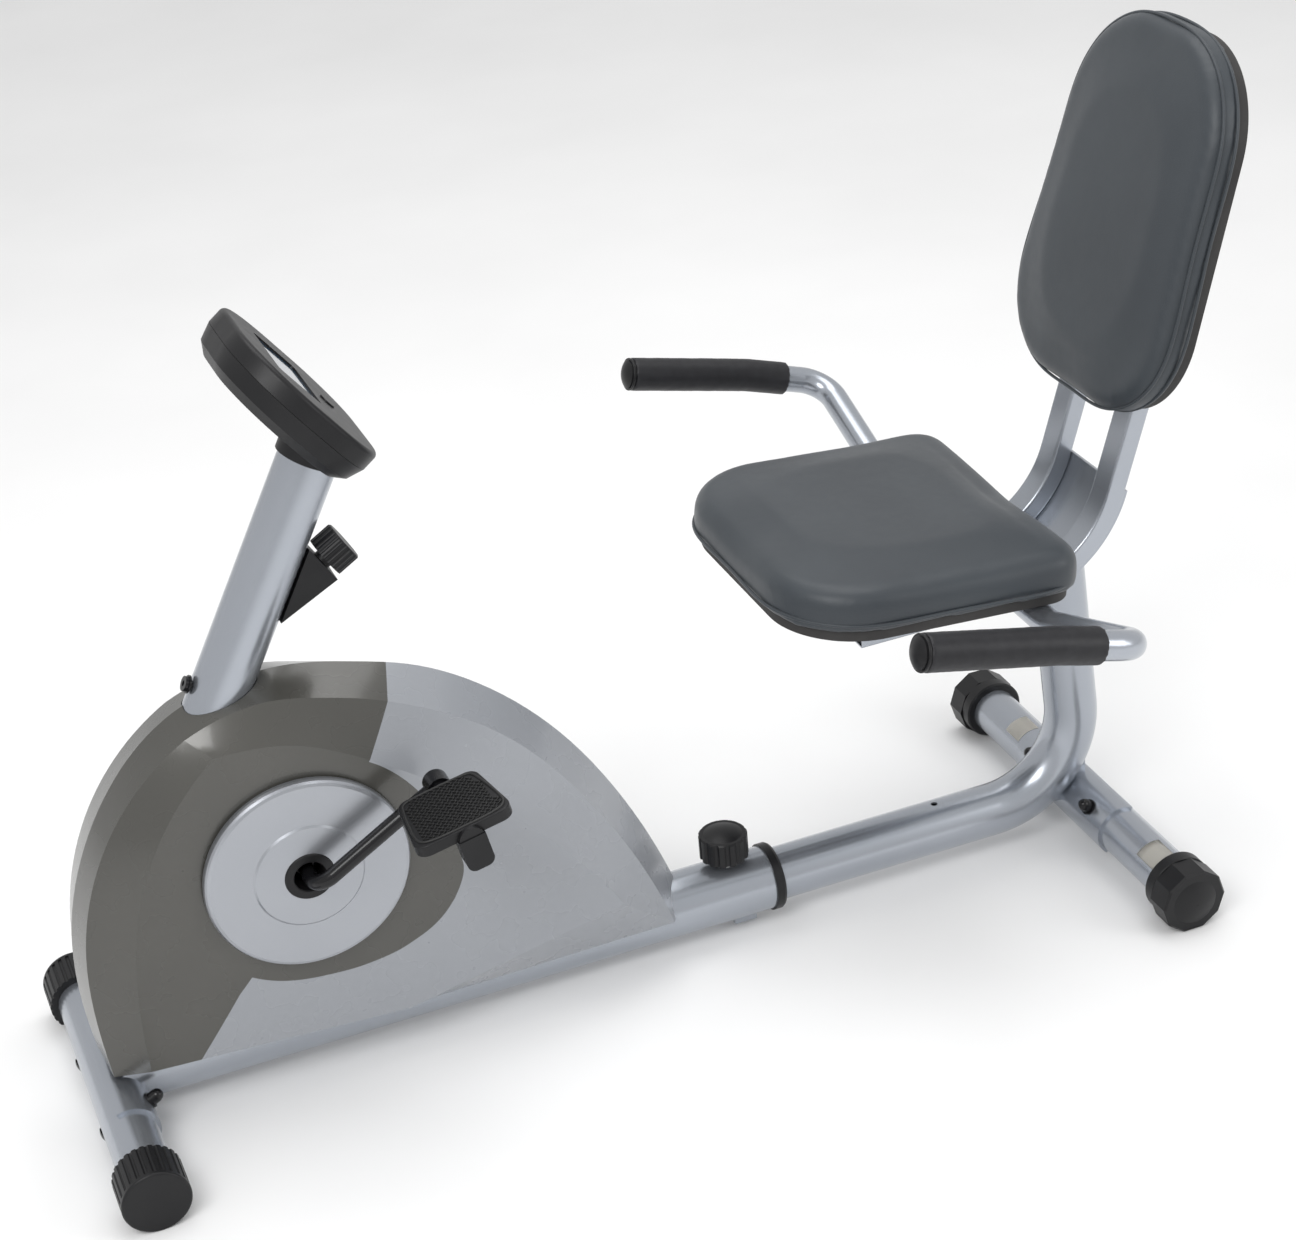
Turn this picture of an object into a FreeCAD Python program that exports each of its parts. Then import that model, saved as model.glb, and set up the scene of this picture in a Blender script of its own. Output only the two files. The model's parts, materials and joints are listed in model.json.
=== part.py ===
import FreeCAD, Part
import math
import os
import Sketcher
from FreeCAD import Vector as V

# Recumbent exercise bike, millimetres.  +X runs from the front stabiliser to the
# back rest, +Z is up, the floor is z = 0 and the bike's middle plane is y = 0.
# Positions below are given from the front stabiliser's axis; front_reach moves
# the whole bike so that the row's origin is under the middle of its length.

doc = FreeCAD.newDocument("recumbent_bike")
sheet = doc.addObject("Spreadsheet::Sheet", "sizes")

SIZES = [
    ("front_reach", 573.6),
    ("main_tube_radius", 33.0), ("main_tube_wall", 2.5), ("main_tube_height", 45.5),
    ("main_tube_end", 683.0),
    ("rear_tube_radius", 27.5), ("rear_tube_wall", 2.0), ("rear_tube_start", 400.0),
    ("foot_tube_radius", 25.0), ("foot_tube_wall", 2.0), ("front_foot_z", 32.0), ("rear_foot_z", 36.0),
    ("front_foot_half", 184.0), ("rear_foot_half", 222.0), ("rear_foot_x", 1051.0),
    ("cap_radius", 32.6), ("cap_length", 44.0), ("front_cap_inner", 145.0),
    ("level_collar_inner", 189.0), ("level_collar_length", 14.0),
    ("crank_axis_x", 207.0), ("crank_axis_z", 248.0), ("crank_length", 145.0),
    ("crank_angle", 30.5), ("crank_rod_radius", 7.5), ("crank_plane", 95.0),
    ("shell_radius", 23.0), ("spindle_radius", 8.5), ("running_gap", 0.05),
    ("cover_radius", 98.0), ("cover_proud", 12.0), ("hub_ring_radius", 24.0),
    ("hub_hole_radius", 15.0),
    ("shroud_half_width", 58.0), ("rim_half_width", 38.0), ("shroud_wall", 3.0),
    ("drive_pulley_radius", 90.0), ("small_pulley_radius", 18.0),
    ("pulley_width", 10.0), ("pulley_inner", 30.0), ("belt_thickness", 3.0),
    ("flywheel_x", 407.0), ("flywheel_z", 178.0), ("flywheel_radius", 92.0),
    ("flywheel_width", 24.0), ("flywheel_shaft", 6.0),
    ("mast_radius", 27.5), ("mast_wall", 2.5), ("mast_angle", 61.1),
    ("mast_foot_x", 155.0), ("mast_foot_z", 400.0), ("mast_length", 290.0),
    ("console_width", 190.0), ("console_height", 166.0), ("console_depth", 42.0),
    ("console_x", 267.0), ("console_z", 689.0), ("console_tilt", 37.0),
    ("tension_knob_radius", 20.0), ("tension_knob_length", 23.0),
    ("pull_knob_x", 641.0), ("pull_knob_radius", 25.0),
    ("seat_front_x", 667.0), ("seat_bottom_z", 391.0), ("seat_length", 304.0),
    ("seat_width", 334.0), ("seat_board", 10.0), ("seat_foam", 46.0), ("seat_tilt", 4.0),
    ("back_x", 1106.0), ("back_z", 682.0), ("back_tilt", 17.5), ("back_height", 372.0),
    ("back_width_low", 292.0), ("back_width_top", 252.0), ("back_board", 10.0),
    ("back_foam", 34.0),
    ("upright_width", 30.0), ("upright_depth", 20.0), ("upright_spread", 52.0),
    ("bar_radius", 14.0), ("bar_wall", 1.5), ("grip_radius", 17.5),
    ("pedal_length", 80.0), ("pedal_thickness", 15.0), ("pedal_tilt", 11.7),
]
for row, (alias, value) in enumerate(SIZES, start=1):
    sheet.set("A%d" % row, alias)
    sheet.set("B%d" % row, str(value))
    sheet.setAlias("B%d" % row, alias)
doc.recompute()
S = {alias: float(getattr(sheet, alias)) for alias, _ in SIZES}

X, Y, Z = V(1, 0, 0), V(0, 1, 0), V(0, 0, 1)
SHIFT = FreeCAD.Placement(V(-S["front_reach"], 0, 0), FreeCAD.Rotation())
nodes = []


# ---------------------------------------------------------------- helpers

def place(base, rotation=None):
    """Placement in bike coordinates, moved so the row's origin is mid length."""
    return SHIFT.multiply(FreeCAD.Placement(base, rotation or FreeCAD.Rotation()))


def register(obj, name):
    obj.Label = name
    nodes.append((name, obj))
    return obj


def feature(name, shape):
    """A sub-part whose form is a sweep, a loft or a trimmed solid."""
    obj = doc.addObject("Part::Feature", name)
    obj.Shape = shape
    obj.Placement = SHIFT.multiply(shape.Placement)
    return register(obj, name)


def along(direction):
    """Rotation that takes +Z to the given direction."""
    return FreeCAD.Rotation(Z, direction)


def turned(name, profile, base, axis):
    """A body turned about its own Y axis: profile is (radius, distance) pairs."""
    body = doc.addObject("PartDesign::Body", name)
    sketch = body.newObject("Sketcher::SketchObject", name + "_profile")
    plane = next(o for o in body.Origin.OriginFeatures if o.Role == "XY_Plane")
    sketch.AttachmentSupport = [(plane, "")]
    sketch.MapMode = "FlatFace"
    count = len(profile)
    for i in range(count):
        a, b = profile[i], profile[(i + 1) % count]
        sketch.addGeometry(Part.LineSegment(V(a[0], a[1], 0), V(b[0], b[1], 0)), False)
    for i in range(count):
        sketch.addConstraint(Sketcher.Constraint("Coincident", i, 2, (i + 1) % count, 1))
    spin = body.newObject("PartDesign::Revolution", name + "_turn")
    spin.Profile = sketch
    spin.ReferenceAxis = (sketch, ["V_Axis"])
    spin.Angle = 360.0
    body.Placement = place(base, FreeCAD.Rotation(Y, axis))
    return register(body, name)


def tube_between(name, base, direction, radius, wall, length):
    """A straight tube driven by the sheet: radius, wall and length are aliases."""
    outer = doc.addObject("Part::Cylinder", name + "_outer")
    inner = doc.addObject("Part::Cylinder", name + "_bore")
    outer.setExpression("Radius", "sizes.%s" % radius)
    inner.setExpression("Radius", "sizes.%s - sizes.%s" % (radius, wall))
    for cylinder in (outer, inner):
        cylinder.setExpression("Height", length)
    cut = doc.addObject("Part::Cut", name)
    cut.Base, cut.Tool = outer, inner
    cut.Placement = place(base, along(direction))
    return register(cut, name)


def cylinder(radius, base, axis, length):
    return Part.makeCylinder(radius, length, base, axis)


def centred_box(centre, sx, sy, sz):
    return Part.makeBox(sx, sy, sz, centre - V(sx / 2, sy / 2, sz / 2))


def bent_path(points, bends):
    """Straight runs joined by round bends; bends holds one radius per corner."""
    edges, start = [], points[0]
    for i, bend in enumerate(bends, start=1):
        to_last = (points[i - 1] - points[i]).normalize()
        to_next = (points[i + 1] - points[i]).normalize()
        half = to_last.getAngle(to_next) / 2
        leave = points[i] + to_last * (bend / math.tan(half))
        join = points[i] + to_next * (bend / math.tan(half))
        bulge = (to_last + to_next).normalize() * (bend / math.sin(half) - bend)
        edges.append(Part.makeLine(start, leave))
        edges.append(Part.Arc(leave, points[i] + bulge, join).toShape())
        start = join
    edges.append(Part.makeLine(start, points[-1]))
    return Part.Wire(edges)


def round_bar(points, bends, radius):
    path = bent_path(points, bends)
    ring = Part.Wire(Part.makeCircle(radius, points[0], points[1] - points[0]))
    return path.makePipeShell([ring], True, False)


def round_tube(points, bends, radius, wall):
    return round_bar(points, bends, radius).cut(round_bar(points, bends, radius - wall))


def extrude(points, direction):
    return Part.Face(Part.makePolygon(points + [points[0]])).extrude(direction)


def rounded(width_low, width_top, height, low_corner, top_corner, z=0.0):
    """Rounded four-sided outline, centred, its low side at -Y and top side at +Y."""
    corners = [(-width_low / 2, -height / 2, low_corner), (width_low / 2, -height / 2, low_corner),
               (width_top / 2, height / 2, top_corner), (-width_top / 2, height / 2, top_corner)]
    edges, last = [], None
    first = None
    for i, (cx, cy, radius) in enumerate(corners):
        point = V(cx, cy, z)
        before = (V(*corners[i - 1][:2], z) - point).normalize()
        after = (V(*corners[(i + 1) % 4][:2], z) - point).normalize()
        half = before.getAngle(after) / 2
        a = point + before * (radius / math.tan(half))
        b = point + after * (radius / math.tan(half))
        middle = point + (before + after).normalize() * (radius / math.sin(half) - radius)
        if last is not None:
            edges.append(Part.makeLine(last, a))
        else:
            first = a
        edges.append(Part.Arc(a, middle, b).toShape())
        last = b
    edges.append(Part.makeLine(last, first))
    return Part.Wire(edges)


def slab(wire, thickness):
    return Part.Face(wire).extrude(V(0, 0, thickness))


def mirrored(shape):
    return shape.mirror(V(), Y)


def edges_at(shape, test):
    return [edge for edge in shape.Edges if test(edge.BoundBox)]


# ---------------------------------------------------------------- main frame

tube_z = S["main_tube_height"]
front_z, rear_z = S["front_foot_z"], S["rear_foot_z"]
tube_r = S["main_tube_radius"]
foot_r = S["foot_tube_radius"]
saddle_r = foot_r + 3.0
main_solid = cylinder(tube_r, V(8, 0, tube_z), X, S["main_tube_end"] - 8)
front_foot_solid = cylinder(saddle_r, V(0, -200, front_z), Y, 400)

main_tube = main_solid.cut(cylinder(tube_r - S["main_tube_wall"], V(0, 0, tube_z), X, 800))
main_tube = main_tube.cut(front_foot_solid)
pin_hole = cylinder(5.2, V(S["pull_knob_x"], 0, tube_z), Z, 60)
lug = centred_box(V(656, 0, 11), 24, 18, 12).cut(main_solid)
main_tube = main_tube.cut(pin_hole).fuse(lug)
feature("main_tube", main_tube)


def saddle(centre_x, foot_z, half_width, start, end):
    """Curved plate round a stabiliser between two angles from +X towards +Z."""
    ring = cylinder(saddle_r, V(centre_x, -half_width, foot_z), Y, 2 * half_width)
    ring = ring.cut(cylinder(foot_r, V(centre_x, -half_width, foot_z), Y, 2 * half_width))
    reach = 80.0
    fan = [V(centre_x, -half_width, foot_z)]
    for step in range(9):
        angle = math.radians(start + (end - start) * step / 8.0)
        fan.append(V(centre_x + reach * math.cos(angle), -half_width, foot_z + reach * math.sin(angle)))
    return ring.common(extrude(fan, V(0, 2 * half_width, 0)))


FRONT_BOLT_ANGLE = 28.0
REAR_BOLT_ANGLE = 139.0
BOLT_Y = 58.0


def foot_bolt(centre_x, foot_z, angle, side, thread=4.0):
    """Carriage bolt through a stabiliser with a washer and an acorn nut."""
    a = math.radians(angle)
    out = V(math.cos(a), 0, math.sin(a))
    centre = V(centre_x, side * BOLT_Y, foot_z)
    shank = cylinder(thread, centre - out * 25, out, 25 + 28 + 12)
    head = Part.makeSphere(13, centre - out * 15.5).common(cylinder(9, centre - out * 30, out, 5.2))
    washer = cylinder(8.5, centre + out * 28.0, out, 1.6)
    nut = cylinder(6.6, centre + out * 29.6, out, 6.5)
    dome = Part.makeSphere(6.2, centre + out * 36.0)
    return shank.fuse([head, washer, nut, dome])


def foot_holes(shape, centre_x, foot_z, angle):
    a = math.radians(angle)
    out = V(math.cos(a), 0, math.sin(a))
    for side in (-1, 1):
        shape = shape.cut(cylinder(4.0, V(centre_x, side * BOLT_Y, foot_z) - out * 40, out, 80))
    return shape


feature("front_saddle", foot_holes(saddle(0, front_z, 82, -52, 112), 0, front_z, FRONT_BOLT_ANGLE))


def foot_tube(name, centre_x, foot_z, half, angle):
    solid = cylinder(foot_r, V(centre_x, -half, foot_z), Y, 2 * half)
    solid = solid.cut(cylinder(foot_r - S["foot_tube_wall"], V(centre_x, -half, foot_z), Y, 2 * half))
    return feature(name, foot_holes(solid, centre_x, foot_z, angle))


foot_tube("front_stabilizer", 0, front_z, S["front_foot_half"], FRONT_BOLT_ANGLE)
for side, word in ((-1, "left"), (1, "right")):
    feature("front_bolt_" + word, foot_bolt(0, front_z, FRONT_BOLT_ANGLE, side))


def fluted_cap(side):
    """Fluted end cap with a blind bore, flattened where it stands on the floor."""
    radius, length = S["cap_radius"], S["cap_length"]
    cap = cylinder(radius, V(0, 0, 0), Z, length)
    cap = cap.makeFillet(2.5, edges_at(cap, lambda b: b.ZMin > length - 0.1 and b.ZMax > length - 0.1))
    flutes = []
    for i in range(26):
        angle = math.radians(360.0 * (i + 0.5) / 26 - 90)
        flutes.append(cylinder(2.0, V((radius + 0.6) * math.cos(angle), (radius + 0.6) * math.sin(angle), -1), Z, length - 4))
    cap = cap.cut(Part.makeCompound(flutes))
    cap = cap.cut(cylinder(foot_r, V(0, 0, -1), Z, length - 5))
    turn = FreeCAD.Placement(V(0, side * S["front_cap_inner"], front_z), FreeCAD.Rotation(X, -90 * side))
    cap.Placement = turn
    floor = Part.makeBox(200, 500, 50, V(-100, -250, -50))
    return cap.cut(floor)


for side, word in ((-1, "left"), (1, "right")):
    feature("front_cap_" + word, fluted_cap(side))

# Inner post: stands on the main tube and carries the mast on its upper end.
mast_a = math.radians(S["mast_angle"])
mast_dir = V(math.cos(mast_a), 0, math.sin(mast_a))
mast_front = V(-math.sin(mast_a), 0, math.cos(mast_a))
mast_foot = V(S["mast_foot_x"], 0, S["mast_foot_z"])


def on_mast(distance, outward=0.0):
    return mast_foot + mast_dir * distance + mast_front * outward


post_points = [V(92, 0, 40), on_mast(-60), on_mast(62)]
post = round_tube(post_points, [150.0], 25.0, 2.5).cut(main_solid)
bolt_line = cylinder(4.0, on_mast(24, 45), mast_front * -1, 90)
feature("mast_post", post.cut(bolt_line))

mast = cylinder(S["mast_radius"], on_mast(-14), mast_dir, S["mast_length"] + 14)
mast = mast.cut(cylinder(S["mast_radius"] - S["mast_wall"], on_mast(-20), mast_dir, 400))
console_a = math.radians(S["console_tilt"])
face_out = V(math.cos(console_a), 0, math.sin(console_a))
face_up = V(-math.sin(console_a), 0, math.cos(console_a))
console_at = V(S["console_x"], 0, S["console_z"])
half_depth = S["console_depth"] / 2
mast_stop = console_at + face_out * (-half_depth + 8)
front_of_stop = FreeCAD.Placement(mast_stop, FreeCAD.Rotation(Y, face_up, face_out, "ZXY"))
beyond = Part.makeBox(400, 400, 400, V(-200, -200, 0))
beyond.Placement = front_of_stop
mast = mast.cut(beyond)
feature("mast", mast.cut(bolt_line))

bolt = cylinder(4.0, on_mast(24, 31.5), mast_front * -1, 66)
bolt = bolt.fuse([cylinder(8.5, on_mast(24, 31.6), mast_front * -1, 1.6),
                  cylinder(7.0, on_mast(24, 35.0), mast_front * -1, 4.5)])
bolt = bolt.cut(cylinder(2.5, on_mast(24, 36.0), mast_front * -1, 3.5))
feature("mast_bolt", bolt)

# Bottom bracket shell on a strut, its two end cups bored for the crank spindle.
crank_at = V(S["crank_axis_x"], 0, S["crank_axis_z"])
shell_low, shell_high = -30.0, 27.0
shell = cylinder(S["shell_radius"], crank_at + Y * shell_low, Y, shell_high - shell_low)
strut = centred_box(V(S["crank_axis_x"], -2, 150), 34, 40, 190).cut(main_solid)
strut = strut.cut(cylinder(S["shell_radius"], crank_at + Y * -50, Y, 100))
bracket = shell.fuse(strut).cut(cylinder(19.0, crank_at + Y * (shell_low + 8), Y, shell_high - shell_low - 16))
bore = cylinder(S["spindle_radius"] + S["running_gap"], crank_at + Y * -60, Y, 120)
feature("bottom_bracket", bracket.cut(bore).removeSplitter())

# Two plates that carry the flywheel shaft and the magnet yoke's pivot.
fly_at = V(S["flywheel_x"], 0, S["flywheel_z"])
PIVOT_ANGLE, PIVOT_RADIUS = math.radians(127.0), 118.0
pivot_at = fly_at + V(math.cos(PIVOT_ANGLE), 0, math.sin(PIVOT_ANGLE)) * PIVOT_RADIUS
PLATE_INNER, PLATE_THICK = 22.0, 4.0


def fly_plate(side):
    y = PLATE_INNER if side > 0 else -PLATE_INNER - PLATE_THICK
    corners = [(296, 60), (452, 60), (426, 192), (392, 200), (350, 286), (322, 286), (318, 262)]
    plate = extrude([V(px, y, pz) for px, pz in corners], V(0, PLATE_THICK, 0)).cut(main_solid)
    plate = plate.cut(cylinder(S["flywheel_shaft"] + S["running_gap"], fly_at + Y * (y - 5), Y, 20))
    return plate.cut(cylinder(4.0 + S["running_gap"], pivot_at + Y * (y - 5), Y, 20))


for side, word in ((-1, "left"), (1, "right")):
    feature("flywheel_plate_" + word, fly_plate(side))

# Plastic collar that guides the sliding rear tube, at the end of the main tube.
end_x = S["main_tube_end"]
slide_r = S["rear_tube_radius"] + S["running_gap"]
bore_r = tube_r - S["main_tube_wall"]
turned("collar", [(slide_r, -30), (bore_r, -30), (bore_r, 0), (tube_r + 2, 0), (tube_r + 2, 8),
                  (tube_r + 0.5, 10.5), (slide_r, 10.5)], V(end_x, 0, tube_z), X)

# Bushing that guides the pull pin, standing on the main tube.
knob_x = S["pull_knob_x"]
housing = cylinder(9.5, V(knob_x, 0, tube_z + tube_r - 3), Z, 6)
housing = housing.fuse(cylinder(7.5, V(knob_x, 0, tube_z + tube_r + 2), Z, 5)).cut(main_solid)
housing = housing.fuse(cylinder(5.2, V(knob_x, 0, tube_z + bore_r), Z, 11))
housing = housing.cut(cylinder(4.0 + S["running_gap"], V(knob_x, 0, tube_z), Z, 80))
feature("pin_housing", housing.removeSplitter())

# ---------------------------------------------------------------- shroud

# Outline of one shroud half at three depths: middle seam, rim crease, side panel.
SEAM = [[(-4, 60), (-12, 140), (-7, 215), (13, 282), (43, 338), (81, 383), (121, 411)],
        [(121, 411), (160, 425), (203, 431), (249, 427), (291, 416), (341, 399), (413, 354),
         (484, 279), (533, 200), (567, 126), (594, 47)],
        [(594, 47), (300, 47), (-4, 60)]]
CREASE = [[(-1, 68), (-6, 145), (-1, 216), (17, 279), (45, 331), (83, 374), (122, 402)],
          [(122, 402), (160, 415), (202, 419), (246, 410), (287, 397), (329, 378), (396, 336),
           (462, 266), (508, 193), (542, 124), (568, 52)],
          [(568, 52), (290, 49), (-1, 68)]]
PANEL = [[(32, 76), (32, 130), (36, 182), (48, 242), (68, 295), (98, 343), (141, 388)],
         [(141, 388), (175, 387), (210, 381), (243, 367), (275, 348), (308, 325), (356, 289),
          (416, 234), (455, 189), (484, 150), (510, 106)],
         [(510, 106), (286, 60), (32, 76)]]


def loop(parts, y):
    edges = []
    for points in parts[:2]:
        curve = Part.BSplineCurve()
        curve.interpolate([V(px, y, pz) for px, pz in points])
        edges.append(curve.toShape())
    low = [V(px, y, pz) for px, pz in parts[2]]
    edges += [Part.makeLine(low[0], low[1]), Part.makeLine(low[1], low[2])]
    return Part.Wire(edges)


def inset(parts, distance):
    """The same outline moved inwards by a wall thickness."""
    ring = parts[0][:-1] + parts[1][:-1] + parts[2][:-1]
    count, moved = len(ring), []
    for i, (px, pz) in enumerate(ring):
        before, after = V(*ring[i - 1], 0), V(*ring[(i + 1) % count], 0)
        into = (V(px, pz, 0) - before).normalize()
        onto = (after - V(px, pz, 0)).normalize()
        normal = V(into.y + onto.y, -into.x - onto.x, 0).normalize()
        lean = max(0.45, normal.dot(V(into.y, -into.x, 0)))
        moved.append((px + normal.x * distance / lean, pz + normal.y * distance / lean))
    a, b = len(parts[0]) - 1, len(parts[0]) + len(parts[1]) - 2
    return [moved[:a + 1], moved[a:b + 1], moved[b:] + [moved[0]]]


def shroud_half():
    wall = S["shroud_wall"]
    outer = Part.makeLoft([loop(SEAM, 0), loop(CREASE, S["rim_half_width"]),
                           loop(PANEL, S["shroud_half_width"])], True, True)
    inner = Part.makeLoft([loop(inset(SEAM, wall), -1.0), loop(inset(CREASE, wall), S["rim_half_width"] - 1.5),
                           loop(inset(PANEL, wall), S["shroud_half_width"] - wall)], True, True)
    half = outer.cut(inner)
    half = half.cut(cylinder(tube_r + 0.4, V(-100, 0, tube_z), X, 900))
    half = half.cut(cylinder(saddle_r + 1.0, V(0, -100, front_z), Y, 300))
    half = half.cut(cylinder(S["mast_radius"] + 0.6, on_mast(-30), mast_dir, 200))
    return half.cut(cylinder(S["hub_ring_radius"] + 2, crank_at, Y, 100))


half = shroud_half()
feature("shroud_right", half)
feature("shroud_left", mirrored(half))

cover_r, proud = S["cover_radius"], S["cover_proud"]
ring_r = S["hub_ring_radius"]
step = 0.54 * cover_r
cover_profile = [(ring_r, proud - 2.5), (ring_r, proud + 1.5), (step - 2, proud + 1.5), (step, proud),
                 (cover_r - 5, proud), (cover_r - 2.2, proud - 1.0), (cover_r - 0.6, proud - 3.2),
                 (cover_r, proud - 6), (cover_r, 2.5), (cover_r - 1.6, 2.5), (cover_r - 1.6, 0),
                 (cover_r - 5, 0), (cover_r - 5, proud - 4), (step, proud - 2.5)]
hub_profile = [(S["hub_hole_radius"], -6), (ring_r - 2, -6), (ring_r, proud - 2), (ring_r, proud + 1.5),
               (ring_r - 1, proud + 3), (S["hub_hole_radius"] + 1, proud + 3), (S["hub_hole_radius"], proud + 2)]
for side, word in ((-1, "left"), (1, "right")):
    face = crank_at + Y * side * S["shroud_half_width"]
    turned("crank_cover_" + word, cover_profile, face, Y * side)
    turned("hub_ring_" + word, hub_profile, face, Y * side)

# ---------------------------------------------------------------- console

console_turn = FreeCAD.Rotation(Y, face_up, face_out, "ZXY")


def console_place(shape):
    shape.Placement = FreeCAD.Placement(console_at, console_turn)
    return shape


def console_outline(grow, z):
    wide, tall = S["console_width"] + grow, S["console_height"] + grow
    return rounded(wide * 0.94, wide, tall, 0.38 * tall, 0.44 * tall, z)


SEAM_W = 3.0
back_shell = Part.makeLoft([console_outline(-30, -half_depth), console_outline(-10, -half_depth + 8),
                            console_outline(0, SEAM_W)], True, True)
back_cavity = Part.makeLoft([console_outline(-34, -half_depth + 3), console_outline(-6, SEAM_W)], True, True)
back_shell = console_place(back_shell.cut(back_cavity))
boss_solid = cylinder(S["mast_radius"] + 3, on_mast(S["mast_length"] - 31), mast_dir, 60)
cavity_room = Part.makeBox(400, 400, 400, V(-200, -200, -half_depth + 9))
boss_solid = boss_solid.cut(console_place(cavity_room))
mast_room = cylinder(S["mast_radius"], on_mast(0), mast_dir, 400)
feature("console_back", back_shell.fuse(boss_solid).cut(mast_room))

bezel = slab(console_outline(0, SEAM_W + 0.3), half_depth - SEAM_W - 0.3)
bezel = bezel.makeFillet(5.0, edges_at(bezel, lambda b: b.ZMin > half_depth - 0.1))
bezel = bezel.cut(slab(console_outline(-6, SEAM_W), half_depth - SEAM_W - 5))
LENS_V, BUTTON_V = 16.0, -34.0
lens_window = slab(rounded(92, 92, 52, 5, 5, half_depth - 10), 20)
lens_window.translate(V(0, LENS_V, 0))
bezel = bezel.cut(lens_window).cut(cylinder(8.3, V(0, BUTTON_V, half_depth - 20), Z, 40))
feature("console_bezel", console_place(bezel))
lens = slab(rounded(91.4, 91.4, 51.4, 4.7, 4.7, half_depth - 5), 3.2)
lens.translate(V(0, LENS_V, 0))
ledge = slab(rounded(98, 98, 58, 5, 5, half_depth - 8), 2.99)
ledge.translate(V(0, LENS_V, 0))
feature("console_lens", console_place(lens.fuse(ledge)))
button = cylinder(8.0, V(0, BUTTON_V, half_depth - 6.5), Z, 8.0)
button = button.fuse(cylinder(10.0, V(0, BUTTON_V, half_depth - 7.5), Z, 2.2))
feature("console_button", console_place(button.removeSplitter()))

# ---------------------------------------------------------------- tension control

wedge_top, wedge_right, wedge_low = on_mast(180, -27), V(287, 0, 509), on_mast(106, -27)
wedge_face = (wedge_right - wedge_top).normalize()
knob_dir = V(-wedge_face.z, 0, wedge_face.x)
wedge = extrude([p - Y * 14 for p in (wedge_top, wedge_right, wedge_low)], Y * 28)
wedge = wedge.cut(cylinder(S["mast_radius"], on_mast(0), mast_dir, 300))
knob_base = wedge_top + wedge_face * ((wedge_right - wedge_top).Length * 0.56)
wedge = wedge.cut(cylinder(4.05, knob_base - knob_dir * 14, knob_dir, 40))
feature("tension_bracket", wedge)


def ribbed_knob(radius, length, ribs, rib):
    knob = Part.makeCylinder(radius, length)
    grooves = []
    for i in range(ribs):
        angle = 2 * math.pi * i / ribs
        grooves.append(Part.makeCylinder(rib, length + 2, V((radius + rib * 0.45) * math.cos(angle),
                                                         (radius + rib * 0.45) * math.sin(angle), -1)))
    knob = knob.cut(Part.makeCompound(grooves))
    blank = Part.makeCylinder(radius, length)
    return knob.common(blank.makeChamfer(1.5, edges_at(blank, lambda b: b.ZMin > length - 0.1)))


knob = ribbed_knob(S["tension_knob_radius"], S["tension_knob_length"], 24, 1.9)
knob = knob.fuse([Part.makeCylinder(9, 4.2, V(0, 0, -4)), Part.makeCylinder(4.0, 16, V(0, 0, -14))])
knob.Placement = FreeCAD.Placement(knob_base + knob_dir * 4.5, along(knob_dir))
feature("tension_knob", knob.removeSplitter())

yoke_in, yoke_out, cheek_in = S["flywheel_radius"] + 5, S["flywheel_radius"] + 11, S["flywheel_radius"] - 16
yoke_ring = cylinder(yoke_out, fly_at - Y * 19, Y, 38).cut(cylinder(cheek_in, fly_at - Y * 20, Y, 40))
yoke_ring = yoke_ring.cut(cylinder(yoke_in, fly_at - Y * 15, Y, 30))
fan = [fly_at - Y * 30] + [fly_at - Y * 30 + V(math.cos(math.radians(a)), 0, math.sin(math.radians(a))) * 200
                           for a in (58, 80, 100, 122)]
yoke = yoke_ring.common(extrude(fan, Y * 60))
tongue_end = fly_at + V(math.cos(math.radians(116)), 0, math.sin(math.radians(116))) * (yoke_in + 2)
tongue_dir = (pivot_at - tongue_end).normalize()
tongue = centred_box(V(), 38, 30, 12)
tongue.Placement = FreeCAD.Placement((pivot_at + tongue_end) * 0.5, FreeCAD.Rotation(X, tongue_dir))
tongue = tongue.cut(cylinder(yoke_in, fly_at - Y * 20, Y, 40))
yoke = yoke.fuse([tongue, cylinder(8.0, pivot_at - Y * 19, Y, 38), cylinder(4.0, pivot_at - Y * 26, Y, 52)])
feature("magnet_yoke", yoke.removeSplitter())

# ---------------------------------------------------------------- drive

arm_a = math.radians(S["crank_angle"])
arm_dir = V(math.cos(arm_a), 0, math.sin(arm_a))
crank_len, arm_y = S["crank_length"], S["crank_plane"]
left_eye = crank_at + arm_dir * crank_len - Y * arm_y
right_eye = crank_at - arm_dir * crank_len + Y * arm_y
rod = round_bar([left_eye, crank_at - Y * arm_y, crank_at + Y * arm_y, right_eye], [19.0, 19.0],
                S["crank_rod_radius"])
spindle = cylinder(S["spindle_radius"], crank_at - Y * 54, Y, 108)
PEDAL_INNER = 17.0      # from the crank arm's plane to the pedal's inner end
pedal_len = S["pedal_length"]
ends = []
for side, eye in ((-1, left_eye), (1, right_eye)):
    ends.append(cylinder(12.0, eye - Y * 9, Y, 18))
    ends.append(cylinder(9.0, eye, Y * side, PEDAL_INNER - 1))
    ends.append(cylinder(6.0, eye, Y * side, PEDAL_INNER + pedal_len - 8))
feature("crank", rod.fuse([spindle] + ends).removeSplitter())

pulley_w = S["pulley_width"]


def pulley_profile(radius, bore_radius, flange):
    return [(bore_radius, 0), (radius + flange, 0), (radius + flange, 1), (radius, 1.6),
            (radius, pulley_w - 1.6), (radius + flange, pulley_w - 1), (radius + flange, pulley_w),
            (bore_radius, pulley_w)]


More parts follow.
